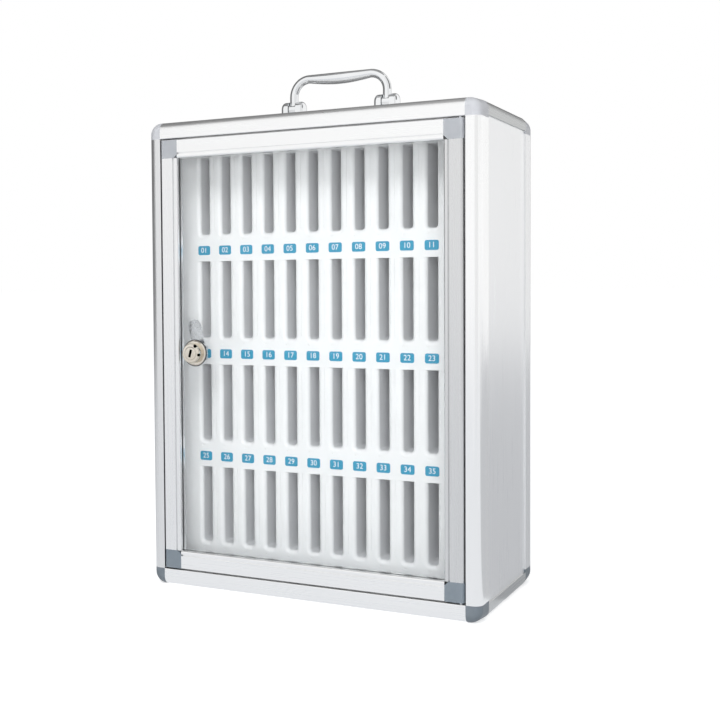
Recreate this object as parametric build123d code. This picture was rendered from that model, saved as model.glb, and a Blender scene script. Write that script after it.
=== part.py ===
from build123d import *
import os

# Phone locker box: an aluminium-edged cabinet that stands on its bottom, with a clear
# framed door on the front (-Y), a carrying handle on the top and a slotted rack inside.
# Millimetres. X runs to the right of someone facing the door, Y to the back, Z up.
# The origin is the centre of the underside of the cabinet.

# ---- driving dimensions ----
width = 368.0
depth = 190.0
height = 500.0

side_ring = 15.0            # front face of the left and right frame profiles
top_ring = 18.0             # front face of the top and bottom frame profiles
ring_depth = 27.0           # frame profiles and corner caps, front to back
edge_size = 15.0            # section of the four front-to-back edge profiles
edge_radius = 9.0           # rounding of every outer edge
inner_edge_radius = 1.0     # rounding of the front profiles' edges round the door
corner_radius = 14.5        # rounder corner of the front and rear faces' outlines
wall = 1.8                  # wall of the frame profiles
front_box_depth = 14.5      # closed box of a front profile, behind its face
flange_box = 8.0            # thickness of the closed box behind it
flange_box_end = 23.0
corner_box = 11.0           # closed box of the edge and rear profiles

panel_thickness = 3.0
panel_recess = 1.5          # panels lie this far inside the profiles' outer faces
panel_slack = 0.5           # between a panel's edge and the bottom of its groove
flange = 1.5
groove = panel_thickness + 0.1

door_gap = 1.5
door_thickness = 10.5
door_profile = 19.5         # width of the door's rails, stiles and corner blocks
door_wall = 1.8
bead_start = 15.4           # a fine groove parts the flat face from the inner bead
bead_groove = (1.6, 2.0)    # its width and depth
bead_radius = 1.8
door_edge_radius = 0.8
corner_notch = 6.0          # side of the square that cuts off a corner block's inner corner
stop_depth = 12.5           # the stop strips' front face, behind the cabinet's front
stop_thickness = 2.0
stop_reach = 7.0

pane_thickness = 3.0
pane_setback = 4.0
pane_grip = 4.8             # depth of the groove that holds the pane
pane_slack = 0.3

pivot_inset = 4.0           # door pivot axis, from the door's front and right faces
pivot_pin_radius = 2.0
pivot_hole_radius = 2.05
pivot_hole_depth = 9.5
pivot_engagement = 8.0
pivot_head_room = 2.5

tenon_length = 12.0
tenon_root = 1.0            # how far a tenon starts inside its own corner piece
tenon_clearance = 1.0
tenon_inset = 4.2
door_tenon_length = 14.0
door_tenon_clearance = 0.4

columns = 12
rows = 4
column_pitch = 26.36
row_pitch = 113.9
slot_width = 10.8
slot_height = 84.5
slot_corner_radius = 3.0
slot_rounding = 4.4         # rounding of the front edges beside and below the slots
first_slot_floor = 39.3     # floor of the lowest row of slots
rack_front = -44.0
rack_wall = 2.0
rack_clearance = 0.3
divider_wall = 1.5
rack_top = 493.5
seam_size = 0.6             # fine joint line down the middle of each divider's face
notch_width = 4.0
notch_height = 1.8
notch_depth = 1.0
notch_offset = -3.0
notch_drop = 6.0

label_width = 14.8
label_height = 10.0
label_thickness = 0.5
label_radius = 2.0
label_drop = 17.5           # label centre below the floor of its slot
low_label_drop = 20.0       # the lowest row's labels sit nearer the bottom

lock_x = -130.0
lock_z = 253.0
lock_flange_radius = 13.5
lock_flange_thickness = 2.3
lock_collar_radius = 10.5
lock_collar_length = 7.7
lock_barrel_radius = 9.0
lock_barrel_end = -80.8
lock_edge = 1.2             # bevel of the flange, rounding of the collar
plug_radius = 7.0
plug_bore_radius = 7.05
plug_proud = 0.6
plug_face_chamfer = 0.6
key_slot = (3.0, 8.5, 8.0)  # width, height and depth
key_slot_tilt = 15.0        # degrees from upright, towards the right
index_notches = ((54.0, 2.0), (-9.0, 1.5))  # degrees from +X towards +Z, and radius
index_notch_reach = 9.7     # from the lock's axis
index_notch_depth = 3.0
cam_front = -80.1
cam_thickness = 2.0
cam_reach = 36.0
cam_width = 15.0
cam_square = 8.0
cam_rest_tilt = 15.0        # degrees from upright, towards the left
cam_screw_radius = 2.0
cam_screw_length = 10.0
cam_screw_head = (4.5, 2.5)  # radius and height
cam_screw_rounding = 1.0
nut_flats = 24.0
nut_thickness = 3.5

handle_spacing = 109.0      # leg to leg, centre to centre
handle_top = 553.0
handle_pivot_z = 517.0
leg_radius = 4.5
bend_radius = 18.5
grip_swell = 6.2            # radius of the grip at its middle
grip_shoulder = 5.7
eye_radius = 5.6
eye_width = 8.6
handle_pin_radius = 2.5
handle_pin_hole_radius = 2.55
ear_slot = 9.4
ear_outer = 26.0
ear_depth = 16.0
ear_rounding = 4.0
pin_cover = 2.0
plate_size = (37.0, 28.0)    # along X and Y
plate_thickness = 2.0
plate_radius = 4.0
rivet_place = (15.7, 9.0)    # from the bracket's middle, along X and Y
rivet_radius = 1.6
rivet_head = (2.1, 1.2)      # radius and height
rivet_rounding = 1.0
rivet_tail = 1.0

# ---- places worked out from them ----
half_width = width / 2
half_depth = depth / 2
front = -half_depth
opening_x = half_width - side_ring
opening_low = top_ring
opening_high = height - top_ring
door_x = opening_x - door_gap
door_low = opening_low + door_gap
door_high = opening_high - door_gap
door_back = front + door_thickness
sight_x = door_x - door_profile
sight_low = door_low + door_profile
sight_high = door_high - door_profile
pane_front = front + pane_setback
pane_back = pane_front + pane_thickness
pivot_x = door_x - pivot_inset
pivot_y = front + pivot_inset
inner_flange_x = half_width - panel_recess - groove - flange
rack_half = inner_flange_x
rack_back = half_depth - corner_box
rack_floor = groove + flange
top_surface = height - panel_recess
plate_top = top_surface + plate_thickness

LOW = (Align.MIN, Align.MIN)
UP = Vector(0, 0, 1)
DOWN = Vector(0, 0, -1)
RIGHT = Vector(1, 0, 0)
LEFT = Vector(-1, 0, 0)
BACK = Vector(0, 1, 0)
FORWARD = Vector(0, -1, 0)


def block(x_range, y_range, z_range):
    """A box between two values on each axis."""
    size = [high - low for low, high in (x_range, y_range, z_range)]
    middle = [(high + low) / 2 for low, high in (x_range, y_range, z_range)]
    return Pos(*middle) * Box(*size)


def rod(start, end, radius):
    """A cylinder from one point to another."""
    axis = Vector(*end) - Vector(*start)
    return extrude(Plane(origin=start, z_dir=axis) * Circle(radius), axis.length)


def patch(u_range, v_range):
    """A rectangle between two values on each axis of a section."""
    corner = Pos(u_range[0], v_range[0])
    return corner * Rectangle(u_range[1] - u_range[0], v_range[1] - v_range[0], align=LOW)


def round_corner(section, point, radius):
    """Rounds the section's corner nearest the point."""
    nearest = section.vertices().sort_by_distance((*point, 0))[0]
    return fillet(nearest, radius)


def cavity(u_range, v_range):
    """The hollow of a closed box, following the rounded outer corner."""
    return round_corner(patch(u_range, v_range), (0, 0), edge_radius - wall)


def groove_lips(v_range, recess):
    """The two lips, along V, that hold a panel lying inside the outer face at U = 0."""
    lips = patch((recess + groove, recess + groove + flange), v_range)
    if recess:
        lips += patch((0, recess), v_range)
    return lips


def turned_lips(u_range, recess):
    """The same lips along U, for a panel lying inside the outer face at V = 0."""
    lips = patch(u_range, (recess + groove, recess + groove + flange))
    if recess:
        lips += patch(u_range, (0, recess))
    return lips


def front_section(ring, recess):
    """Front frame profile: U from its outer face inwards, V from the front backwards."""
    section = patch((0, ring), (0, front_box_depth))
    section += patch((0, flange_box), (front_box_depth, flange_box_end))
    section = round_corner(section, (0, 0), edge_radius)
    section = round_corner(section, (ring, 0), inner_edge_radius)
    section += groove_lips((flange_box_end, ring_depth), recess)
    section -= cavity((wall, ring - wall), (wall, front_box_depth - wall))
    section -= patch((wall, flange_box - wall), (front_box_depth, flange_box_end - wall))
    return section


def corner_section(u_reach, v_reach, u_recess, v_recess):
    """Edge or rear profile: a closed corner box with panel grooves along both faces."""
    section = round_corner(patch((0, corner_box), (0, corner_box)), (0, 0), edge_radius)
    section += groove_lips((corner_box, v_reach), u_recess)
    section += turned_lips((corner_box, u_reach), v_recess)
    section -= cavity((wall, corner_box - wall), (wall, corner_box - wall))
    return section


def profile(section, centre, u_dir, v_dir, length):
    """Extrudes a section both ways from the middle of its sharp outer edge."""
    run = u_dir.cross(v_dir)
    start = Vector(*centre) - run * (length / 2)
    plane = Plane(origin=start, x_dir=u_dir, z_dir=run)
    return extrude(plane * section, length)


# ---- cabinet frame ----

def top_front_profile():
    section = front_section(top_ring, panel_recess)
    return profile(section, (0, front, height), DOWN, BACK, 2 * opening_x) - pivot_pin_holes()


def bottom_front_profile():
    section = front_section(top_ring, 0)
    return profile(section, (0, front, 0), UP, BACK, 2 * opening_x) - pivot_pin_holes()


def side_front_profile(side):
    inward = LEFT if side > 0 else RIGHT
    section = front_section(side_ring, panel_recess)
    return profile(section, (side * half_width, front, height / 2), inward, BACK, height - 2 * top_ring)


def pivot_pin_holes():
    """Holes through the top and bottom jambs, which the door's pivot pins are pressed into."""
    low = rod((pivot_x, pivot_y, opening_low - wall), (pivot_x, pivot_y, opening_low), pivot_pin_radius)
    high = rod((pivot_x, pivot_y, opening_high), (pivot_x, pivot_y, opening_high + wall), pivot_pin_radius)
    return Compound([low, high])


def rear_top_profile():
    section = corner_section(top_ring, ring_depth, panel_recess, panel_recess)
    return profile(section, (0, half_depth, height), DOWN, FORWARD, 2 * opening_x)


def rear_bottom_profile():
    section = corner_section(top_ring, ring_depth, 0, panel_recess)
    return profile(section, (0, half_depth, 0), UP, FORWARD, 2 * opening_x)


def rear_side_profile(side):
    inward = LEFT if side > 0 else RIGHT
    section = corner_section(side_ring, ring_depth, panel_recess, panel_recess)
    place = (side * half_width, half_depth, height / 2)
    return profile(section, place, inward, FORWARD, height - 2 * top_ring)


def side_edge(side, at_top):
    """Front-to-back edge profile between a front and a rear corner cap."""
    inward = LEFT if side > 0 else RIGHT
    vertical = DOWN if at_top else UP
    section = corner_section(edge_size, edge_size, panel_recess, panel_recess if at_top else 0)
    place = (side * half_width, 0, height if at_top else 0)
    return profile(section, place, inward, vertical, depth - 2 * ring_depth)


def span(outer, inward_sign, low, high):
    """A range measured inwards from an outer face."""
    ends = (outer + inward_sign * low, outer + inward_sign * high)
    return min(ends), max(ends)


def cap_shell(outer, x_in, y_in, z_in):
    """The cap's rounded body: its outline's corner is rounder on the front or rear face."""
    inward = RIGHT if x_in > 0 else LEFT
    vertical = UP if z_in > 0 else DOWN
    sections = []
    for reach, radius in ((0, corner_radius), (ring_depth, edge_radius)):
        place = (outer[0], outer[1] + y_in * reach, outer[2])
        plane = Plane(origin=place, x_dir=inward, z_dir=inward.cross(vertical))
        sections.append(plane * round_corner(patch((0, side_ring), (0, top_ring)), (0, 0), radius))
    body = loft(sections, ruled=True)
    face = body.faces().filter_by(Axis.Y).sort_by_distance(outer)[0]
    inner = face.vertices().sort_by_distance(outer)[-1]
    rim = [edge for edge in face.edges() if inner not in edge.vertices()]
    return fillet(rim, edge_radius)


def corner_cap(side, at_top, at_front):
    """Plastic corner: three rounded faces, with tenons into the profiles it joins."""
    x_in = -side
    y_in = 1 if at_front else -1
    z_in = -1 if at_top else 1
    outer = (side * half_width, -y_in * half_depth, height if at_top else 0)
    body = cap_shell(outer, x_in, y_in, z_in)
    box_depth = front_box_depth if at_front else corner_box
    box_width = side_ring if at_front else corner_box
    box_height = top_ring if at_front else corner_box
    into_side = block(span(outer[0], x_in, tenon_inset, box_width - wall - tenon_clearance),
                      span(outer[1], y_in, tenon_inset, box_depth - wall - tenon_clearance),
                      span(outer[2], z_in, top_ring - tenon_root, top_ring + tenon_length))
    into_top = block(span(outer[0], x_in, side_ring - tenon_root, side_ring + tenon_length),
                     span(outer[1], y_in, tenon_inset, box_depth - wall - tenon_clearance),
                     span(outer[2], z_in, tenon_inset, box_height - wall - tenon_clearance))
    into_edge = block(span(outer[0], x_in, tenon_inset, corner_box - wall),
                      span(outer[1], y_in, ring_depth - tenon_root, ring_depth + tenon_length),
                      span(outer[2], z_in, tenon_inset, corner_box - wall))
    body += into_side + into_top + into_edge
    for panel in (side_panel(side), top_panel(), bottom_panel(), back_panel()):
        body -= panel
    return body


def side_panel(side):
    reach = corner_box + panel_slack
    return block(span(side * half_width, -side, panel_recess, panel_recess + panel_thickness),
                 (front + flange_box_end + panel_slack, half_depth - reach), (reach, height - reach))


def plain_top_panel():
    reach = corner_box + panel_slack
    return block((reach - half_width, half_width - reach),
                 (front + flange_box_end + panel_slack, half_depth - reach),
                 (top_surface - panel_thickness, top_surface))


def top_panel():
    panel = plain_top_panel()
    for x, y in rivet_points():
        panel -= rod((x, y, top_surface - panel_thickness), (x, y, top_surface), rivet_radius)
    return panel


def bottom_panel():
    """Flush with the underside of the profiles, so that the box stands on it."""
    return block((corner_box - half_width, half_width - corner_box),
                 (front + flange_box_end, half_depth - corner_box), (0, panel_thickness))


def back_panel():
    reach = corner_box + panel_slack
    return block((reach - half_width, half_width - reach),
                 span(half_depth, -1, panel_recess, panel_recess + panel_thickness), (reach, height - reach))


def door_stops():
    """Four strips behind the opening that the closed door and the lock's cam bear on."""
    y_range = (front + stop_depth, front + stop_depth + stop_thickness)
    low = opening_low + stop_reach
    high = opening_high - stop_reach
    strips = [block((-opening_x, opening_x), y_range, (opening_low, low)),
              block((-opening_x, opening_x), y_range, (high, opening_high))]
    for side in (-1, 1):
        strips.append(block(span(side * opening_x, -side, 0, stop_reach), y_range, (low, high)))
    return Compound(strips)


def door_pivot_pins():
    bottom = rod((pivot_x, pivot_y, opening_low - pivot_head_room),
                 (pivot_x, pivot_y, door_low + pivot_engagement), pivot_pin_radius)
    top = rod((pivot_x, pivot_y, door_high - pivot_engagement),
              (pivot_x, pivot_y, opening_high + pivot_head_room), pivot_pin_radius)
    return Compound([bottom, top])


# ---- phone rack ----

def slot_centres():
    return [(column - (columns - 1) / 2) * column_pitch for column in range(columns)]


def slot_floor(row):
    """Rows are numbered from the top."""
    return first_slot_floor + (rows - 1 - row) * row_pitch


def rack_strip(index):
    """Hollow shelf: strip 0 caps the top row, strip i carries row i on its rounded floors."""
    y_range = (rack_front, rack_back - rack_wall)
    low = rack_floor if index == rows else slot_floor(index) + slot_height
    shelf = rack_top if index == 0 else slot_floor(index - 1)
    body = block((-rack_half, rack_half), y_range, (low, shelf))
    hollow = block((-rack_half + rack_wall, rack_half - rack_wall),
                   (y_range[0] + rack_wall, y_range[1] - rack_wall), (low + rack_wall, shelf - rack_wall))
    body = body - frame_room(rack_clearance) - (hollow - frame_room(rack_clearance + rack_wall))
    if index:
        body += slot_floor_corners(index - 1, y_range)
        body = fillet(slot_lips(body, shelf), slot_rounding)
        body -= front_notches(shelf - notch_drop)
    return body


def frame_room(clearance):
    """The room the rack leaves for the edge profiles and the rear corner caps."""
    room = []
    for side in (-1, 1):
        for outer_z, z_in in ((0, 1), (height, -1)):
            outer_x = side * half_width
            room.append(block(span(outer_x, -side, 0, corner_box + clearance), (front, half_depth),
                              span(outer_z, z_in, 0, corner_box + clearance)))
            room.append(block(span(outer_x, -side, 0, side_ring + clearance),
                              (half_depth - ring_depth - clearance, half_depth),
                              span(outer_z, z_in, 0, top_ring + clearance)))
    return Compound(room)


def slot_floor_corners(row, y_range):
    """The strip's raised top edge between slots, which rounds the slots' lower corners."""
    floor = slot_floor(row)
    face = patch((-rack_half, rack_half), (floor, floor + slot_corner_radius))
    for centre in slot_centres():
        slot = patch((centre - slot_width / 2, centre + slot_width / 2), (floor, floor + slot_height))
        lower = slot.vertices().sort_by(Axis.Y)[:2]
        face -= fillet(lower, slot_corner_radius)
    plane = Plane(origin=(0, y_range[0], 0), x_dir=RIGHT, z_dir=FORWARD)
    return extrude(plane * face, -(y_range[1] - y_range[0]))


def slot_lips(body, shelf):
    """The front edges of the slots' floors and of their rounded lower corners."""
    reach = slot_corner_radius / 2
    lips = []
    for edge in body.edges().filter_by_position(Axis.Y, rack_front, rack_front):
        middle = edge.center()
        if abs(middle.Z - shelf) < reach and abs(middle.X) < rack_half - rack_wall:
            lips.append(edge)
    return lips


def front_notches(z):
    """A small recess under each slot, in the strip's front face."""
    cuts = []
    for centre in slot_centres():
        x = centre + notch_offset
        cuts.append(block((x - notch_width / 2, x + notch_width / 2), (rack_front, rack_front + notch_depth),
                          (z - notch_height / 2, z + notch_height / 2)))
    return Compound(cuts)


def divider_section(low, high):
    """Hollow upright seen from above, with rounded front edges beside the slots."""
    section = patch((low, high), (rack_front, rack_back - rack_wall))
    hollow = patch((low + divider_wall, high - divider_wall),
                   (rack_front + rack_wall, rack_back - 2 * rack_wall))
    for x, inward in ((low, divider_wall), (high, -divider_wall)):
        if abs(x) < rack_half:
            section = round_corner(section, (x, rack_front), slot_rounding)
            inner_corner = (x + inward, rack_front + rack_wall)
            hollow = round_corner(hollow, inner_corner, slot_rounding - divider_wall)
    if high - low < column_pitch:
        middle = (low + high) / 2
        section -= patch((middle - seam_size / 2, middle + seam_size / 2),
                         (rack_front, rack_front + seam_size))
    return section - hollow


def row_dividers(row):
    """The uprights between the slots of one row, with a wide one at each end."""
    plane = Plane(origin=(0, 0, slot_floor(row) + slot_corner_radius))
    edges = [-rack_half]
    for centre in slot_centres():
        edges += [centre - slot_width / 2, centre + slot_width / 2]
    edges.append(rack_half)
    uprights = []
    for low, high in zip(edges[0::2], edges[1::2]):
        uprights.append(extrude(plane * divider_section(low, high), slot_height - slot_corner_radius))
    return Compound(uprights)


def rack_back_plate():
    plate = block((-rack_half, rack_half), (rack_back - rack_wall, rack_back), (rack_floor, rack_top))
    return plate - frame_room(rack_clearance)


def row_labels(row):
    drop = low_label_drop if row == rows - 1 else label_drop
    z = slot_floor(row) - drop
    labels = []
    for centre in slot_centres():
        plane = Plane(origin=(centre, rack_front, z), x_dir=RIGHT, z_dir=FORWARD)
        face = plane * RectangleRounded(label_width, label_height, label_radius)
        labels.append(extrude(face, label_thickness))
    return Compound(labels)


# ---- door ----

def door_section(hinge_side=False):
    """U from the door's outer edge to the pane, V from its front face backwards."""
    section = patch((0, door_profile), (0, door_thickness))
    section = round_corner(section, (door_profile, 0), bead_radius)
    section = round_corner(section, (0, 0), pivot_inset if hinge_side else door_edge_radius)
    section -= patch((door_wall, bead_start - 2 * door_wall), (door_wall, door_thickness - door_wall))
    groove_width, groove_depth = bead_groove
    section -= patch((bead_start - groove_width, bead_start), (0, groove_depth))
    section -= patch((door_profile - pane_grip, door_profile), (pane_setback, pane_setback + pane_thickness))
    return section


def door_rail(at_top):
    place = (0, front, door_high if at_top else door_low)
    return profile(door_section(), place, DOWN if at_top else UP, BACK, 2 * sight_x)


def door_stile(side):
    inward = LEFT if side > 0 else RIGHT
    place = (side * door_x, front, (door_low + door_high) / 2)
    return profile(door_section(side > 0), place, inward, BACK, sight_high - sight_low)


def door_corner(side, at_top):
    """Plastic corner block with a tenon into each profile; the right ones turn on the pins."""
    z_in = -1 if at_top else 1
    outer_z = door_high if at_top else door_low
    body = block(span(side * door_x, -side, 0, door_profile), (front, door_back),
                 span(outer_z, z_in, 0, door_profile))
    outer_edge = body.edges().filter_by(Axis.Z).sort_by_distance((side * door_x, front, outer_z))[0]
    body = fillet(outer_edge, pivot_inset if side > 0 else door_edge_radius)
    tenon = (door_wall + door_tenon_clearance, bead_start - 2 * door_wall - door_tenon_clearance)
    y_range = (front + door_wall + door_tenon_clearance, door_back - door_wall - door_tenon_clearance)
    body += block(span(side * door_x, -side, door_profile - tenon_root, door_profile + door_tenon_length),
                  y_range, span(outer_z, z_in, *tenon))
    body += block(span(side * door_x, -side, *tenon), y_range,
                  span(outer_z, z_in, door_profile - tenon_root, door_profile + door_tenon_length))
    body -= pane_blank() + inner_notch(side, at_top)
    if side > 0:
        hole_end = outer_z + z_in * pivot_hole_depth
        body -= rod((pivot_x, pivot_y, outer_z), (pivot_x, pivot_y, hole_end), pivot_hole_radius)
    return body


def inner_notch(side, at_top):
    """Cuts off the inner corner of a block's front lip, at 45 degrees."""
    place = Pos(side * sight_x, front + pane_setback / 2, sight_high if at_top else sight_low)
    return place * Rot(0, 45, 0) * Box(corner_notch, pane_setback, corner_notch)


def pane_blank():
    reach = pane_grip - pane_slack
    return block((-sight_x - reach, sight_x + reach), (pane_front, pane_back),
                 (sight_low - reach, sight_high + reach))


def door_pane():
    return pane_blank() - rod((lock_x, pane_front, lock_z), (lock_x, pane_back, lock_z), lock_barrel_radius)


# ---- cam lock ----

def lock_rod(y_start, y_end, radius):
    return rod((lock_x, y_start, lock_z), (lock_x, y_end, lock_z), radius)


def lock_body():
    flange_front = pane_front - lock_flange_thickness
    collar_front = flange_front - lock_collar_length
    rim = lock_rod(pane_front, flange_front, lock_flange_radius)
    rim = chamfer(rim.edges().sort_by(Axis.Y)[0], lock_edge)
    collar = lock_rod(flange_front, collar_front, lock_collar_radius)
    collar = fillet(collar.edges().sort_by(Axis.Y)[0], lock_edge)
    for angle, radius in index_notches:
        notch = Pos(lock_x, collar_front, lock_z) * Rot(0, -angle, 0) * Pos(index_notch_reach, 0, 0)
        collar -= notch * Rot(90, 0, 0) * Cylinder(radius, 2 * index_notch_depth)
    barrel = lock_rod(pane_front, lock_barrel_end, lock_barrel_radius)
    return rim + collar + barrel - lock_rod(collar_front, lock_barrel_end, plug_bore_radius)


def lock_nut():
    plane = Plane(origin=(lock_x, pane_back, lock_z), z_dir=BACK)
    hexagon = RegularPolygon(nut_flats / 2, 6, major_radius=False) - Circle(lock_barrel_radius)
    return extrude(plane * hexagon, nut_thickness)


def lock_plug():
    face = pane_front - lock_flange_thickness - lock_collar_length - plug_proud
    body = lock_rod(face, cam_front, plug_radius)
    body = chamfer(body.edges().sort_by(Axis.Y)[0], plug_face_chamfer)
    body += tilted(block((-cam_square / 2, cam_square / 2), (cam_front, cam_front + cam_thickness),
                         (-cam_square / 2, cam_square / 2)))
    slot_width_x, slot_height_z, slot_depth = key_slot
    body -= (Pos(lock_x, face + slot_depth / 2, lock_z) * Rot(0, key_slot_tilt, 0)
             * Box(slot_width_x, slot_depth, slot_height_z))
    screw_end = cam_front + cam_thickness
    body -= lock_rod(screw_end - cam_screw_length, screw_end, cam_screw_radius)
    return body


def tilted(shape):
    """Places a shape drawn upright about the origin on the lock's axis, at the cam's rest angle."""
    return Pos(lock_x, 0, lock_z) * Rot(0, -cam_rest_tilt, 0) * shape


def lock_cam():
    """Flat arm that points up when the door is free and left when it is locked."""
    plane = Plane(origin=(0, cam_front, 0), x_dir=RIGHT, z_dir=FORWARD)
    straight = cam_reach - cam_width / 2
    arm = Circle(cam_width / 2) + patch((-cam_width / 2, cam_width / 2), (0, straight))
    arm += Pos(0, straight) * Circle(cam_width / 2)
    arm -= Rectangle(cam_square, cam_square)
    return tilted(extrude(plane * arm, -cam_thickness))


def cam_screw():
    seat = cam_front + cam_thickness
    head_radius, head_height = cam_screw_head
    head = lock_rod(seat, seat + head_height, head_radius)
    head = fillet(head.edges().sort_by(Axis.Y)[-1], cam_screw_rounding)
    return head + lock_rod(seat - cam_screw_length, seat, cam_screw_radius)


# ---- carrying handle ----

def handle_grip():
    """Bail: two legs with eyes, bends, and a grip that swells downwards in the middle."""
    leg_x = handle_spacing / 2
    bend_z = handle_top - leg_radius - bend_radius
    grip_end = leg_x - bend_radius
    stations = [(-grip_end, leg_radius), (-grip_end / 2, grip_shoulder), (0, grip_swell),
                (grip_end / 2, grip_shoulder), (grip_end, leg_radius)]
    rings = []
    for x, radius in stations:
        rings.append(Plane(origin=(x, 0, handle_top - radius), x_dir=BACK, z_dir=RIGHT) * Circle(radius))
    body = loft(rings)
    for side in (-1, 1):
        bend = TangentArc((side * grip_end, 0, handle_top - leg_radius), (side * leg_x, 0, bend_z),
                          tangent=(side, 0, 0))
        start = Plane(origin=bend @ 0, z_dir=bend % 0)
        body += sweep(start * Circle(leg_radius), path=bend)
        body += rod((side * leg_x, 0, bend_z), (side * leg_x, 0, handle_pivot_z), leg_radius)
        body += rod((side * leg_x - eye_width / 2, 0, handle_pivot_z),
                    (side * leg_x + eye_width / 2, 0, handle_pivot_z), eye_radius)
    body -= rod((-half_width, 0, handle_pivot_z), (half_width, 0, handle_pivot_z), handle_pin_hole_radius)
    return body


def rivet_points():
    points = []
    for side in (-1, 1):
        for x_sign in (-1, 1):
            for y_sign in (-1, 1):
                points.append((side * handle_spacing / 2 + x_sign * rivet_place[0], y_sign * rivet_place[1]))
    return points


def handle_bracket(side):
    """Base plate with two rounded ears, one each side of the leg."""
    x = side * handle_spacing / 2
    plate = extrude(Plane(origin=(x, 0, top_surface)) * RectangleRounded(*plate_size, plate_radius),
                    plate_thickness)
    for rivet_x, rivet_y in rivet_points():
        plate -= rod((rivet_x, rivet_y, top_surface), (rivet_x, rivet_y, plate_top), rivet_radius)
    for ear_side in (-1, 1):
        plate += bracket_ear(x, ear_side)
    pin_reach = ear_outer / 2 - pin_cover
    return plate - rod((x - pin_reach, 0, handle_pivot_z), (x + pin_reach, 0, handle_pivot_z),
                       handle_pin_radius)


def bracket_ear(x, ear_side):
    inner = x + ear_side * ear_slot / 2
    outer = x + ear_side * ear_outer / 2
    x_range = (min(inner, outer), max(inner, outer))
    ear = block(x_range, (-ear_depth / 2, ear_depth / 2), (plate_top, handle_pivot_z))
    ear += rod((x_range[0], 0, handle_pivot_z), (x_range[1], 0, handle_pivot_z), ear_depth / 2)
    outer_face = ear.faces().sort_by_distance((outer, 0, handle_pivot_z))[0]
    foot = outer_face.edges().sort_by(Axis.Z)[0]
    outline = [edge for edge in outer_face.edges() if edge != foot]
    return fillet(outline, ear_rounding)


def handle_pivot_pins():
    reach = ear_outer / 2 - pin_cover
    pins = []
    for side in (-1, 1):
        x = side * handle_spacing / 2
        pins.append(rod((x - reach, 0, handle_pivot_z), (x + reach, 0, handle_pivot_z), handle_pin_radius))
    return Compound(pins)


def handle_rivets():
    head_radius, head_height = rivet_head
    rivets = []
    for x, y in rivet_points():
        head = rod((x, y, plate_top), (x, y, plate_top + head_height), head_radius)
        head = fillet(head.edges().sort_by(Axis.Z)[-1], rivet_rounding)
        shank = rod((x, y, top_surface - panel_thickness - rivet_tail), (x, y, plate_top), rivet_radius)
        rivets.append(head + shank)
    return Compound(rivets)


# ---- the pieces, each in its own file ----

def build_pieces():
    pieces = {
        "front_profile_top": top_front_profile(),
        "front_profile_bottom": bottom_front_profile(),
        "front_profile_left": side_front_profile(-1),
        "front_profile_right": side_front_profile(1),
        "rear_profile_top": rear_top_profile(),
        "rear_profile_bottom": rear_bottom_profile(),
        "rear_profile_left": rear_side_profile(-1),
        "rear_profile_right": rear_side_profile(1),
        "side_panel_left": side_panel(-1),
        "side_panel_right": side_panel(1),
        "top_panel": top_panel(),
        "bottom_panel": bottom_panel(),
        "back_panel": back_panel(),
        "door_stops": door_stops(),
        "door_pivot_pins": door_pivot_pins(),
        "rack_back_plate": rack_back_plate(),
        "door_rail_top": door_rail(True),
        "door_rail_bottom": door_rail(False),
        "door_stile_left": door_stile(-1),
        "door_stile_right": door_stile(1),
        "door_pane": door_pane(),
        "lock_body": lock_body(),
        "lock_nut": lock_nut(),
        "lock_plug": lock_plug(),
        "lock_cam": lock_cam(),
        "cam_screw": cam_screw(),
        "handle_grip": handle_grip(),
        "handle_bracket_left": handle_bracket(-1),
        "handle_bracket_right": handle_bracket(1),
        "handle_pivot_pins": handle_pivot_pins(),
        "handle_rivets": handle_rivets(),
    }
    for at_top, level in ((True, "top"), (False, "bottom")):
        for side, hand in ((-1, "left"), (1, "right")):
            pieces[f"edge_profile_{level}_{hand}"] = side_edge(side, at_top)
            pieces[f"door_corner_{level}_{hand}"] = door_corner(side, at_top)
            pieces[f"corner_cap_front_{level}_{hand}"] = corner_cap(side, at_top, True)
            pieces[f"corner_cap_rear_{level}_{hand}"] = corner_cap(side, at_top, False)
    for index in range(rows + 1):
        pieces[f"rack_strip_{index}"] = rack_strip(index)
    for row in range(rows):
        pieces[f"rack_dividers_row_{row + 1}"] = row_dividers(row)
        pieces[f"slot_labels_row_{row + 1}"] = row_labels(row)
    return pieces


os.makedirs("parts", exist_ok=True)
for name, shape in build_pieces().items():
    export_step(shape, f"parts/{name}.step")
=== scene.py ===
import math

import bpy
from mathutils import Matrix, Vector


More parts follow.
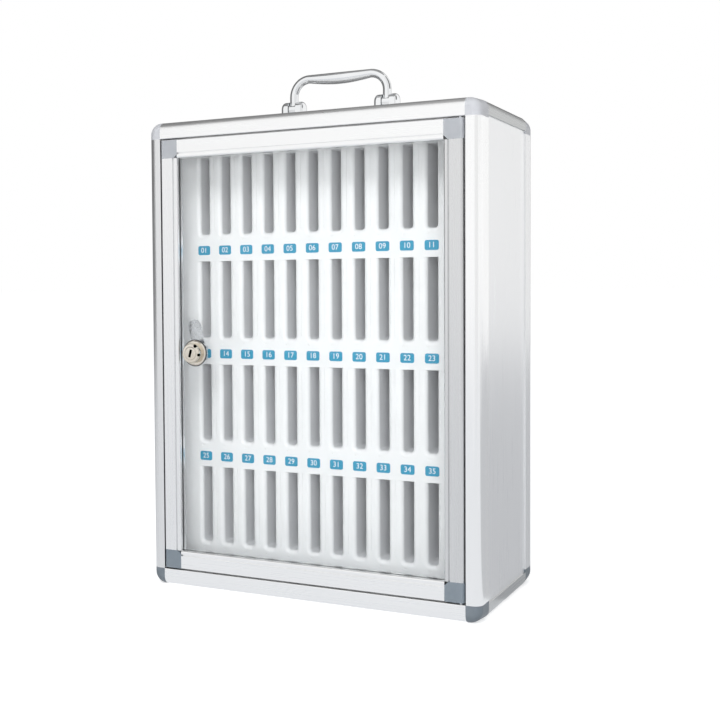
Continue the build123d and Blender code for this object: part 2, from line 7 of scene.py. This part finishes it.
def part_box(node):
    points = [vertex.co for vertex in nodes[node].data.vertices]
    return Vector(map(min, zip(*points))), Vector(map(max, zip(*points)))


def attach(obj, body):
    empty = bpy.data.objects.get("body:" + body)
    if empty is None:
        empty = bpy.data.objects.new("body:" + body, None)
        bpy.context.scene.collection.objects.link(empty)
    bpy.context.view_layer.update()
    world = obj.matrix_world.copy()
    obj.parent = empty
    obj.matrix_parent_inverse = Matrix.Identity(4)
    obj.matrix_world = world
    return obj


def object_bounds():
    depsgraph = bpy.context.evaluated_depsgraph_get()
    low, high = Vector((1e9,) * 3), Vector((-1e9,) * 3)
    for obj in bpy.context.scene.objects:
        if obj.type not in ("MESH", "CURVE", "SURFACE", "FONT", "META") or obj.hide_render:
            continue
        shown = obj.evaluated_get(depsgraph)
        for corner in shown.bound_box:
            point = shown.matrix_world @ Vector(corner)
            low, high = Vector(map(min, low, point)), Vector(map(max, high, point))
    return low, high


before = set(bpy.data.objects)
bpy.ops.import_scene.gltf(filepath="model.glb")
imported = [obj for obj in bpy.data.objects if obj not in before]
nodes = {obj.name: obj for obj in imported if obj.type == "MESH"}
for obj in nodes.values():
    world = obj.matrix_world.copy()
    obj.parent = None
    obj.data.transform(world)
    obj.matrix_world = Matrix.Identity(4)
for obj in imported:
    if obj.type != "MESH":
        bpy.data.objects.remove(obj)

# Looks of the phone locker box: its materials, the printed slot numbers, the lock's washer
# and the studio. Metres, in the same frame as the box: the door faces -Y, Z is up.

cad_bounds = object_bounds()

# ---- the photograph's camera ----
camera_place = (0.5032, -1.1478, 0.3239)
camera_yaw = 27.700                 # degrees
camera_pitch = -2.188
camera_roll = -0.479
focal_pixels = 1153.1
frame_pixels = 720
axis_pixel_x = 260.0                # where the lens axis meets the picture, from its top left corner
axis_pixel_y = 330.0
sensor_width = 36.0

# ---- studio ----
ambient_light = (0.55, 0.555, 0.565)
key_place = (0.36, -1.72, 1.59)
key_size = 0.8
key_power = 19.5
fill_place = (1.0, -2.0, 0.32)
fill_size = 1.0
fill_power = 19.5
floor_reach = 60.0
floor_colour = (0.80, 0.80, 0.80)
floor_glow = 0.57

# Grey screens that only reflections see. Azimuth is measured from the front (-Y) towards the
# left (-X), elevation from the horizon, both in degrees.
screen_radius = 3.0
screens = {
    "left_screen": ((48, 193), (-4, 64), 0.20),
    "ceiling_screen": ((0, 360), (64, 90), 0.35),
    "camera_screen": ((-70, -28), (-4, 55), 0.85),
    "right_screen": ((-120, -80), (16, 60), 0.12),
}
screen_step = 8.0
floor_card_reach = 4.0
floor_cards = {                     # along Y, and shade
    "front_card": ((-1, 0), (0.79, 0.805, 0.83)),
    "rear_card": ((0, 1), (0.53, 0.54, 0.56)),
}

acrylic_index = 1.49                # refractive index of the pane

# ---- printed numbers ----
rows = 4
columns = 12
label_shape = 1.48                 # width of a label over its height
digit_size = 0.0080
digit_thickness = 0.00008

# ---- lock washer ----
washer_lip = 0.0009
washer_thickness = 0.0009
washer_steps = 96


# ---- node helpers ----

class Material:
    """A node material with its Principled shader, and short ways to add nodes."""

    def __init__(self, name, material=None):
        self.material = material or bpy.data.materials.new(name)
        self.material.use_nodes = True
        self.tree = self.material.node_tree
        self.shader = self.tree.nodes["Principled BSDF"]
        self.output = self.tree.nodes["Material Output"]
        self.object_place = self.add("ShaderNodeTexCoord").outputs["Object"]

    def add(self, kind, **settings):
        node = self.tree.nodes.new(kind)
        for name, value in settings.items():
            setattr(node, name, value)
        return node

    def link(self, source, target):
        self.tree.links.new(source, target)

    def noise(self, scale, detail=3.0, stretch=(1, 1, 1)):
        """Noise over the object's own coordinates, scale in cells per metre along each axis."""
        mapping = self.add("ShaderNodeMapping")
        mapping.inputs["Scale"].default_value = [scale * value for value in stretch]
        self.link(self.object_place, mapping.inputs["Vector"])
        noise = self.add("ShaderNodeTexNoise")
        noise.inputs["Scale"].default_value = 1.0
        noise.inputs["Detail"].default_value = detail
        self.link(mapping.outputs["Vector"], noise.inputs["Vector"])
        return noise.outputs["Fac"]

    def ramp(self, source, low, high, positions=(0.3, 0.7)):
        """A colour ramp between two colours or values."""
        ramp = self.add("ShaderNodeValToRGB")
        for element, place, value in zip(ramp.color_ramp.elements, positions, (low, high)):
            element.position = place
            element.color = (*value, 1.0) if isinstance(value, tuple) else (value, value, value, 1.0)
        self.link(source, ramp.inputs["Fac"])
        return ramp.outputs["Color"]

    def blend(self, factor, first, second, mode="MIX"):
        """Mixes two colours by a factor, either of which may be a socket or a tuple."""
        mix = self.add("ShaderNodeMix", data_type="RGBA", blend_type=mode)
        for socket, value in zip((mix.inputs[0], mix.inputs[6], mix.inputs[7]), (factor, first, second)):
            if isinstance(value, bpy.types.NodeSocket):
                self.link(value, socket)
            elif isinstance(value, tuple):
                socket.default_value = (*value, 1.0)
            else:
                socket.default_value = value
        return mix.outputs[2]

    def bump(self, height, distance, strength=1.0):
        bump = self.add("ShaderNodeBump")
        bump.inputs["Distance"].default_value = distance
        bump.inputs["Strength"].default_value = strength
        self.link(height, bump.inputs["Height"])
        self.link(bump.outputs["Normal"], self.shader.inputs["Normal"])

    def set(self, **values):
        for name, value in values.items():
            socket = self.shader.inputs[name.replace("_", " ")]
            socket.default_value = (*value, 1.0) if isinstance(value, tuple) else value

    def colour(self, source):
        self.link(source, self.shader.inputs["Base Color"])

    def roughness(self, source):
        self.link(source, self.shader.inputs["Roughness"])


def along(axis, across=1.0, lengthwise=0.012):
    """Stretch of a grain that runs along one axis."""
    return tuple(lengthwise if name == axis else across for name in "XYZ")


# ---- materials ----

def aluminium(name, axis, dark, light, rough):
    """Satin anodised aluminium, drawn or brushed along one axis."""
    skin = Material(name)
    streaks = skin.noise(900.0, 4.0, along(axis))
    clouds = skin.noise(14.0, 2.0, along(axis, lengthwise=0.3))
    tone = skin.ramp(streaks, dark, light)
    faded = skin.blend(0.25, tone, skin.ramp(clouds, dark, light))
    skin.colour(faded)
    skin.roughness(skin.ramp(streaks, rough - 0.05, rough + 0.05))
    skin.set(Metallic=1.0)
    skin.bump(streaks, 0.00003, 0.5)
    return skin.material


def lined_panel():
    """Brushed aluminium outside, and a pale coat on the side that faces the inside of the box."""
    material = aluminium("panel aluminium", "Z", (0.90, 0.905, 0.91), (0.94, 0.945, 0.95), 0.32)
    skin = Material("panel lining", material)
    outward = skin.add("ShaderNodeVectorMath", operation="SUBTRACT")
    skin.link(skin.object_place, outward.inputs[0])
    outward.inputs[1].default_value = (Vector(cad_bounds[0]) + Vector(cad_bounds[1])) / 2
    facing = skin.add("ShaderNodeVectorMath", operation="DOT_PRODUCT")
    skin.link(outward.outputs["Vector"], facing.inputs[0])
    skin.link(skin.add("ShaderNodeTexCoord").outputs["Normal"], facing.inputs[1])
    inside = skin.add("ShaderNodeMath", operation="LESS_THAN")
    inside.inputs[1].default_value = 0.0
    skin.link(facing.outputs["Value"], inside.inputs[0])
    coat = skin.add("ShaderNodeBsdfPrincipled")
    skin.link(skin.ramp(skin.noise(40.0, 3.0), (0.80, 0.80, 0.81), (0.85, 0.85, 0.86)), coat.inputs["Base Color"])
    coat.inputs["Roughness"].default_value = 0.5
    sides = skin.add("ShaderNodeMixShader")
    skin.link(inside.outputs["Value"], sides.inputs["Fac"])
    skin.link(skin.shader.outputs["BSDF"], sides.inputs[1])
    skin.link(coat.outputs["BSDF"], sides.inputs[2])
    skin.link(sides.outputs["Shader"], skin.output.inputs["Surface"])
    return material


def moulded_plastic(name, dark, light, rough, grain=1400.0, depth=0.00004):
    """Moulded plastic with a fine spark-eroded grain and slight shade changes."""
    skin = Material(name)
    mottling = skin.noise(60.0, 3.0)
    grains = skin.noise(grain, 2.0)
    skin.colour(skin.ramp(mottling, dark, light))
    skin.roughness(skin.ramp(grains, rough - 0.06, rough + 0.06))
    skin.bump(grains, depth, 0.6)
    return skin.material


# Mask for painted shade in hollows.
def recess_shade_mask(skin, start, fade, axis_place=None, reach=None):
    """1 behind the plane Y = start, and, where an axis is given, only within reach of it."""
    place = skin.add("ShaderNodeSeparateXYZ")
    skin.link(skin.object_place, place.inputs["Vector"])
    behind = skin.add("ShaderNodeMapRange")
    behind.inputs["From Min"].default_value = start
    behind.inputs["From Max"].default_value = start + fade
    skin.link(place.outputs["Y"], behind.inputs["Value"])
    if not reach:
        return behind.outputs["Result"]
    away = skin.add("ShaderNodeVectorMath", operation="DISTANCE")
    flat = skin.add("ShaderNodeCombineXYZ")
    skin.link(place.outputs["X"], flat.inputs["X"])
    skin.link(place.outputs["Z"], flat.inputs["Z"])
    skin.link(flat.outputs["Vector"], away.inputs[0])
    away.inputs[1].default_value = (axis_place.x, 0.0, axis_place.z)
    near = skin.add("ShaderNodeMath", operation="LESS_THAN")
    near.inputs[1].default_value = reach
    skin.link(away.outputs["Value"], near.inputs[0])
    both = skin.add("ShaderNodeMath", operation="MULTIPLY")
    skin.link(behind.outputs["Result"], both.inputs[0])
    skin.link(near.outputs["Value"], both.inputs[1])
    return both.outputs["Value"]


def rack_plastic():
    """White rack sheet in front, with painted shade: the walls inside the slots are coloured slightly greyer."""
    skin = Material("rack white plastic")
    clouds = skin.noise(22.0, 2.0)
    grains = skin.noise(1100.0, 2.0)
    front_white = skin.ramp(clouds, (0.88, 0.885, 0.89), (0.92, 0.925, 0.93))
    slot_wall_painted_shade = skin.ramp(clouds, (0.75, 0.755, 0.77), (0.80, 0.805, 0.82))
    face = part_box("rack_strip_1")[0].y
    # Painted shade: everything more than 4 mm behind the front face is coloured greyer.
    skin.colour(skin.blend(recess_shade_mask(skin, face + 0.0040, 0.0008), front_white, slot_wall_painted_shade))
    skin.roughness(skin.ramp(grains, 0.38, 0.5))
    skin.bump(grains, 0.00003, 0.5)
    return skin.material


def label_print():
    """Glossy blue label with a slightly uneven print."""
    skin = Material("label blue")
    specks = skin.noise(700.0, 2.0)
    skin.colour(skin.ramp(specks, (0.0, 0.265, 0.45), (0.0, 0.325, 0.53)))
    skin.roughness(skin.ramp(specks, 0.28, 0.38))
    skin.bump(specks, 0.00002, 0.4)
    return skin.material


def digit_print():
    """White printing on the labels."""
    skin = Material("number white")
    specks = skin.noise(900.0, 2.0)
    skin.colour(skin.ramp(specks, (0.84, 0.86, 0.87), (0.93, 0.94, 0.95)))
    skin.roughness(skin.ramp(specks, 0.4, 0.5))
    return skin.material


def polished_metal(name, dark, light, rough, wear=260.0, recess=None):
    """Plated metal with faint polishing marks, and painted shade, nearly black, in a recess, where one is given."""
    skin = Material(name)
    marks = skin.noise(wear, 5.0)
    smudges = skin.noise(45.0, 2.0)
    plating_and_painted_shade = skin.ramp(smudges, dark, light)
    if recess:
        # Painted shade: the recess is coloured nearly black.
        plating_and_painted_shade = skin.blend(recess_shade_mask(skin, *recess), plating_and_painted_shade, (0.012, 0.010, 0.009))
    skin.colour(plating_and_painted_shade)
    skin.roughness(skin.ramp(marks, rough * 0.7, rough * 1.4))
    skin.set(Metallic=1.0)
    skin.bump(marks, 0.00002, 0.25)
    return skin.material


def clear_acrylic():
    """Clear sheet: what is behind it shows through, and its faces mirror by Fresnel."""
    skin = Material("clear acrylic")
    through = skin.add("ShaderNodeBsdfTransparent")
    through.inputs["Color"].default_value = (0.985, 0.99, 0.99, 1.0)
    mirror = skin.add("ShaderNodeBsdfGlossy")
    haze = skin.noise(30.0, 2.0)
    skin.link(skin.ramp(haze, 0.02, 0.05), mirror.inputs["Roughness"])
    facing = skin.add("ShaderNodeFresnel")
    index = skin.add("ShaderNodeMapRange")      # the same mirroring on the way in and on the way out
    index.inputs["To Min"].default_value = acrylic_index
    index.inputs["To Max"].default_value = 1.0 / acrylic_index
    skin.link(skin.add("ShaderNodeNewGeometry").outputs["Backfacing"], index.inputs["Value"])
    skin.link(index.outputs["Result"], facing.inputs["IOR"])
    mix = skin.add("ShaderNodeMixShader")
    skin.link(facing.outputs["Fac"], mix.inputs["Fac"])
    skin.link(through.outputs["BSDF"], mix.inputs[1])
    skin.link(mirror.outputs["BSDF"], mix.inputs[2])
    skin.link(mix.outputs["Shader"], skin.output.inputs["Surface"])
    skin.tree.nodes.remove(skin.shader)
    return skin.material


def dress(material, *names):
    """Gives CAD nodes their finished material."""
    for name in names:
        mesh = nodes[name].data
        mesh.materials.clear()
        mesh.materials.append(material)


def node_names(*starts):
    return [name for name in nodes if name.startswith(starts)]


def dress_frame():
    """The profiles' grain runs along them; the upright ones are a little smoother. The left post, the edge profiles
    and the hinge stile are darker copies of the same aluminium: painted shade.
    """
    crosswise = aluminium("frame aluminium X", "X", (0.965, 0.97, 0.97), (0.99, 0.99, 0.99), 0.30)
    upright = aluminium("frame aluminium Z", "Z", (0.965, 0.97, 0.97), (0.99, 0.99, 0.99), 0.22)
    # Painted shade: the left post, the edge profiles and the hinge stile are darker copies of the frame aluminium.
    left_post_painted_shade = aluminium("left post aluminium painted shade", "Z", (0.80, 0.805, 0.81), (0.84, 0.845, 0.85), 0.30)
    edges_painted_shade = aluminium("edge aluminium painted shade", "Y", (0.50, 0.51, 0.51), (0.58, 0.59, 0.59), 0.30)
    stiles = aluminium("stile aluminium", "Z", (0.87, 0.875, 0.88), (0.92, 0.925, 0.93), 0.28)
    hinge_stile_painted_shade = aluminium("hinge stile aluminium painted shade", "Z", (0.70, 0.705, 0.71), (0.75, 0.755, 0.76), 0.28)
    dress(crosswise, "front_profile_top", "front_profile_bottom", "rear_profile_top",
          "rear_profile_bottom", "door_rail_top", "door_rail_bottom")
    dress(upright, "front_profile_right", "door_stops")
    dress(left_post_painted_shade, "front_profile_left")
    dress(edges_painted_shade, *node_names("edge_profile"))
    dress(stiles, "door_stile_left", "rear_profile_left", "rear_profile_right")
    dress(hinge_stile_painted_shade, "door_stile_right")
    dress(lined_panel(), *node_names("side_panel"), "top_panel", "bottom_panel", "back_panel")


def dress_caps():
    """The upper caps and door corners are lighter copies of the lower slate plastics: painted light from above."""
    # Painted light: the two upper plastics stand for the slate ones lit from above.
    pale = moulded_plastic("cap painted top light", (0.46, 0.47, 0.50), (0.51, 0.52, 0.545), 0.36)
    grey = moulded_plastic("door corner painted top light", (0.34, 0.355, 0.38), (0.38, 0.395, 0.42), 0.38)
    slate = moulded_plastic("cap slate", (0.130, 0.158, 0.184), (0.158, 0.184, 0.210), 0.42)
    door_slate = moulded_plastic("door corner slate", (0.165, 0.200, 0.233), (0.200, 0.233, 0.267), 0.42)
    dress(pale, *node_names("corner_cap_front_top", "corner_cap_rear_top"))
    dress(slate, *node_names("corner_cap_front_bottom", "corner_cap_rear_bottom"))
    dress(grey, *node_names("door_corner_top"))
    dress(door_slate, *node_names("door_corner_bottom"))


def dress_lock():
    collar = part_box("lock_body")
    axis_place = (collar[0] + collar[1]) / 2
    nickel = (0.70, 0.64, 0.55), (0.80, 0.75, 0.67), 0.16
    # The collar's recess and the keyway get painted shade.
    dress(polished_metal("lock nickel", *nickel, recess=(collar[0].y + 0.0012, 0.0003, axis_place, 0.0103)),
          "lock_body")
    plug_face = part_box("lock_plug")[0].y
    dress(polished_metal("plug nickel", *nickel, recess=(plug_face + 0.0008, 0.0003)), "lock_plug")


def dress_all():
    dress_frame()
    dress_caps()
    dress_lock()
    dress(rack_plastic(), *node_names("rack_"))
    dress(label_print(), *node_names("slot_labels"))
    chrome = polished_metal("handle chrome", (0.84, 0.85, 0.86), (0.90, 0.91, 0.92), 0.08)
    dress(chrome, "handle_grip", *node_names("handle_bracket"))
    steel = polished_metal("zinc steel", (0.60, 0.61, 0.63), (0.72, 0.73, 0.75), 0.24)
    dress(steel, "lock_nut", "lock_cam", "cam_screw", "handle_rivets", "handle_pivot_pins",
          "door_pivot_pins")
    dress(clear_acrylic(), "door_pane")


def link_to_scene(name, data):
    thing = bpy.data.objects.new(name, data)
    bpy.context.scene.collection.objects.link(thing)
    return thing


# ---- printed numbers ----

def number_mesh(text):
    """The flat mesh of a number, centred on the origin, facing +Z."""
    curve = bpy.data.curves.new("number", "FONT")
    curve.body = text
    curve.size = digit_size
    curve.align_x = "CENTER"
    curve.align_y = "CENTER"
    curve.extrude = digit_thickness / 2
    shape = bpy.data.objects.new("number", curve)
    bpy.context.scene.collection.objects.link(shape)
    bpy.context.view_layer.update()
    mesh = bpy.data.meshes.new_from_object(shape.evaluated_get(bpy.context.evaluated_depsgraph_get()))
    bpy.data.objects.remove(shape)
    bpy.data.curves.remove(curve)
    return mesh


def print_numbers(row, material):
    """The two-digit numbers on one row of labels, as one piece."""
    low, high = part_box(f"slot_labels_row_{row}")
    label_width = label_width_of(low, high)
    pitch = (high.x - low.x - label_width) / (columns - 1)
    vertices = []
    faces = []
    for column in range(columns):
        mesh = number_mesh(f"{(row - 1) * columns + column + 1:02d}")
        place = Vector((low.x + label_width / 2 + column * pitch, low.y, (low.z + high.z) / 2))
        turn = Matrix.Translation(place) @ Matrix.Rotation(math.radians(90), 4, "X")
        first = len(vertices)
        vertices += [turn @ vertex.co for vertex in mesh.vertices]
        faces += [[first + index for index in polygon.vertices] for polygon in mesh.polygons]
        bpy.data.meshes.remove(mesh)
    joined = bpy.data.meshes.new(f"slot_numbers_row_{row}")
    joined.from_pydata(vertices, [], faces)
    joined.materials.append(material)
    piece = link_to_scene(f"slot_numbers_row_{row}", joined)
    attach(piece, "cabinet")


def label_width_of(low, high):
    """Width of one label, from its height and the proportions of the printed sheet."""
    return (high.z - low.z) * label_shape


# ---- the lock's washer ----

def lock_washer():
    """Thin dark rubber ring round the foot of the lock's flange, turned from a rounded section."""
    low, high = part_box("lock_body")
    centre_x = (low.x + high.x) / 2
    centre_z = (low.z + high.z) / 2
    pane_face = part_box("door_pane")[0].y
    flange = (high.x - low.x) / 2
    section = [(flange - 0.0004, 0.0), (flange + washer_lip, 0.0), (flange + washer_lip, 0.4),
               (flange + washer_lip * 0.7, 0.85), (flange + washer_lip * 0.3, 1.0), (flange - 0.0004, 1.0)]
    vertices = []
    faces = []
    for step in range(washer_steps):
        angle = 2 * math.pi * step / washer_steps
        for radius, rise in section:
            vertices.append((centre_x + radius * math.cos(angle), pane_face - rise * washer_thickness,
                             centre_z + radius * math.sin(angle)))
        for side in range(len(section)):
            here = step * len(section)
            onward = (step + 1) % washer_steps * len(section)
            turn = (side + 1) % len(section)
            faces.append((here + side, here + turn, onward + turn, onward + side))
    mesh = bpy.data.meshes.new("lock_washer")
    mesh.from_pydata(vertices, [], faces)
    mesh.materials.append(moulded_plastic("washer rubber", (0.035, 0.036, 0.04), (0.06, 0.06, 0.065), 0.55))
    for polygon in mesh.polygons:
        polygon.use_smooth = True
    washer = link_to_scene("lock_washer", mesh)
    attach(washer, "door")


# ---- studio ----

def white_for_sight(tree):
    """Is Camera Ray, Is Glossy Ray or Is Transmission Ray, as one factor."""
    path = tree.nodes.new("ShaderNodeLightPath")
    total = path.outputs["Is Camera Ray"]
    for name in ("Is Glossy Ray", "Is Transmission Ray"):
        either = tree.nodes.new("ShaderNodeMath")
        either.operation = "MAXIMUM"
        tree.links.new(total, either.inputs[0])
        tree.links.new(path.outputs[name], either.inputs[1])
        total = either.outputs["Value"]
    return total


def make_world():
    world = bpy.data.worlds.new("studio")
    bpy.context.scene.world = world
    world.use_nodes = True
    tree = world.node_tree
    background = tree.nodes["Background"]
    mix = tree.nodes.new("ShaderNodeMix")
    mix.data_type = "RGBA"
    mix.inputs[6].default_value = (*ambient_light, 1.0)
    mix.inputs[7].default_value = (1.0, 1.0, 1.0, 1.0)
    tree.links.new(white_for_sight(tree), mix.inputs[0])
    tree.links.new(mix.outputs[2], background.inputs["Color"])


def make_floor():
    mesh = bpy.data.meshes.new("floor")
    corners = [(x * floor_reach, y * floor_reach, cad_bounds[0][2]) for x, y in ((-1, -1), (1, -1), (1, 1), (-1, 1))]
    mesh.from_pydata(corners, [], [(0, 1, 2, 3)])
    floor = link_to_scene("floor", mesh)
    skin = Material("floor")
    skin.set(Roughness=0.9, Specular_IOR_Level=0.0)
    tint = skin.noise(3.0, 2.0)
    skin.colour(skin.ramp(tint, floor_colour, tuple(value + 0.01 for value in floor_colour)))
    glow = skin.add("ShaderNodeEmission")
    glow.inputs["Strength"].default_value = floor_glow
    seen = skin.add("ShaderNodeMixShader")
    skin.link(white_for_sight(skin.tree), seen.inputs["Fac"])
    skin.link(glow.outputs["Emission"], seen.inputs[2])
    total = skin.add("ShaderNodeAddShader")
    skin.link(skin.shader.outputs["BSDF"], total.inputs[0])
    skin.link(seen.outputs["Shader"], total.inputs[1])
    skin.link(total.outputs["Shader"], skin.output.inputs["Surface"])
    mesh.materials.append(skin.material)


def reflection_only(name, vertices, faces, shade):
    """A grey stage sheet that the camera and the lamps' light don't meet."""
    mesh = bpy.data.meshes.new(name)
    mesh.from_pydata(vertices, [], faces)
    sheet = link_to_scene(name, mesh)
    skin = Material(name)
    glow = skin.add("ShaderNodeEmission")
    glow.inputs["Color"].default_value = (*shade, 1.0)
    skin.link(glow.outputs["Emission"], skin.output.inputs["Surface"])
    mesh.materials.append(skin.material)
    sheet.visible_camera = False
    sheet.visible_diffuse = False
    sheet.visible_transmission = False
    sheet.visible_shadow = False


def make_screens(centre):
    """Parts of a sphere round the box, which give the bright metal its dark outlines."""
    for name, (azimuths, elevations, shade) in screens.items():
        across = math.ceil((azimuths[1] - azimuths[0]) / screen_step)
        up = math.ceil((elevations[1] - elevations[0]) / screen_step)
        vertices = []
        for row in range(up + 1):
            elevation = math.radians(elevations[0] + (elevations[1] - elevations[0]) * row / up)
            for column in range(across + 1):
                azimuth = math.radians(azimuths[0] + (azimuths[1] - azimuths[0]) * column / across)
                direction = Vector((-math.sin(azimuth) * math.cos(elevation),
                                    -math.cos(azimuth) * math.cos(elevation), math.sin(elevation)))
                vertices.append(centre + screen_radius * direction)
        faces = []
        for row in range(up):
            for column in range(across):
                corner = row * (across + 1) + column
                faces.append((corner, corner + 1, corner + across + 2, corner + across + 1))
        reflection_only(name, vertices, faces, (shade, shade, shade))


def make_floor_cards():
    height = cad_bounds[0][2] + 0.0005
    for name, ((near, far), shade) in floor_cards.items():
        corners = [(x * floor_card_reach, y * floor_card_reach, height)
                   for x, y in ((-1, near), (1, near), (1, far), (-1, far))]
        reflection_only(name, corners, [(0, 1, 2, 3)], shade)


def make_lamp(name, place, size, power, target):
    lamp = bpy.data.lights.new(name, "AREA")
    lamp.shape = "DISK"
    lamp.size = size
    lamp.energy = power
    thing = link_to_scene(name, lamp)
    thing.location = place
    thing.visible_glossy = False
    thing.rotation_euler = (Vector(target) - Vector(place)).to_track_quat("-Z", "Y").to_euler()


def make_camera():
    lens = bpy.data.cameras.new("camera")
    lens.sensor_fit = "HORIZONTAL"
    lens.sensor_width = sensor_width
    lens.lens = focal_pixels / frame_pixels * sensor_width
    lens.shift_x = (frame_pixels / 2 - axis_pixel_x) / frame_pixels
    lens.shift_y = (axis_pixel_y - frame_pixels / 2) / frame_pixels
    lens.clip_start = 0.01
    camera = link_to_scene("camera", lens)
    turn = Matrix.Rotation(math.radians(camera_yaw), 4, "Z")
    turn @= Matrix.Rotation(math.radians(90 + camera_pitch), 4, "X")
    turn @= Matrix.Rotation(math.radians(camera_roll), 4, "Z")
    camera.matrix_world = Matrix.Translation(camera_place) @ turn
    bpy.context.scene.camera = camera


dress_all()
number_white = digit_print()
for row in range(1, rows + 1):
    print_numbers(row, number_white)

lock_washer()

middle = Vector([(low + high) / 2 for low, high in zip(*cad_bounds)])
make_world()
make_floor()
make_floor_cards()
make_screens(middle)
make_lamp("key", key_place, key_size, key_power, middle)
make_lamp("fill", fill_place, fill_size, fill_power, middle)
make_camera()
bpy.context.scene.view_settings.view_transform = "Standard"
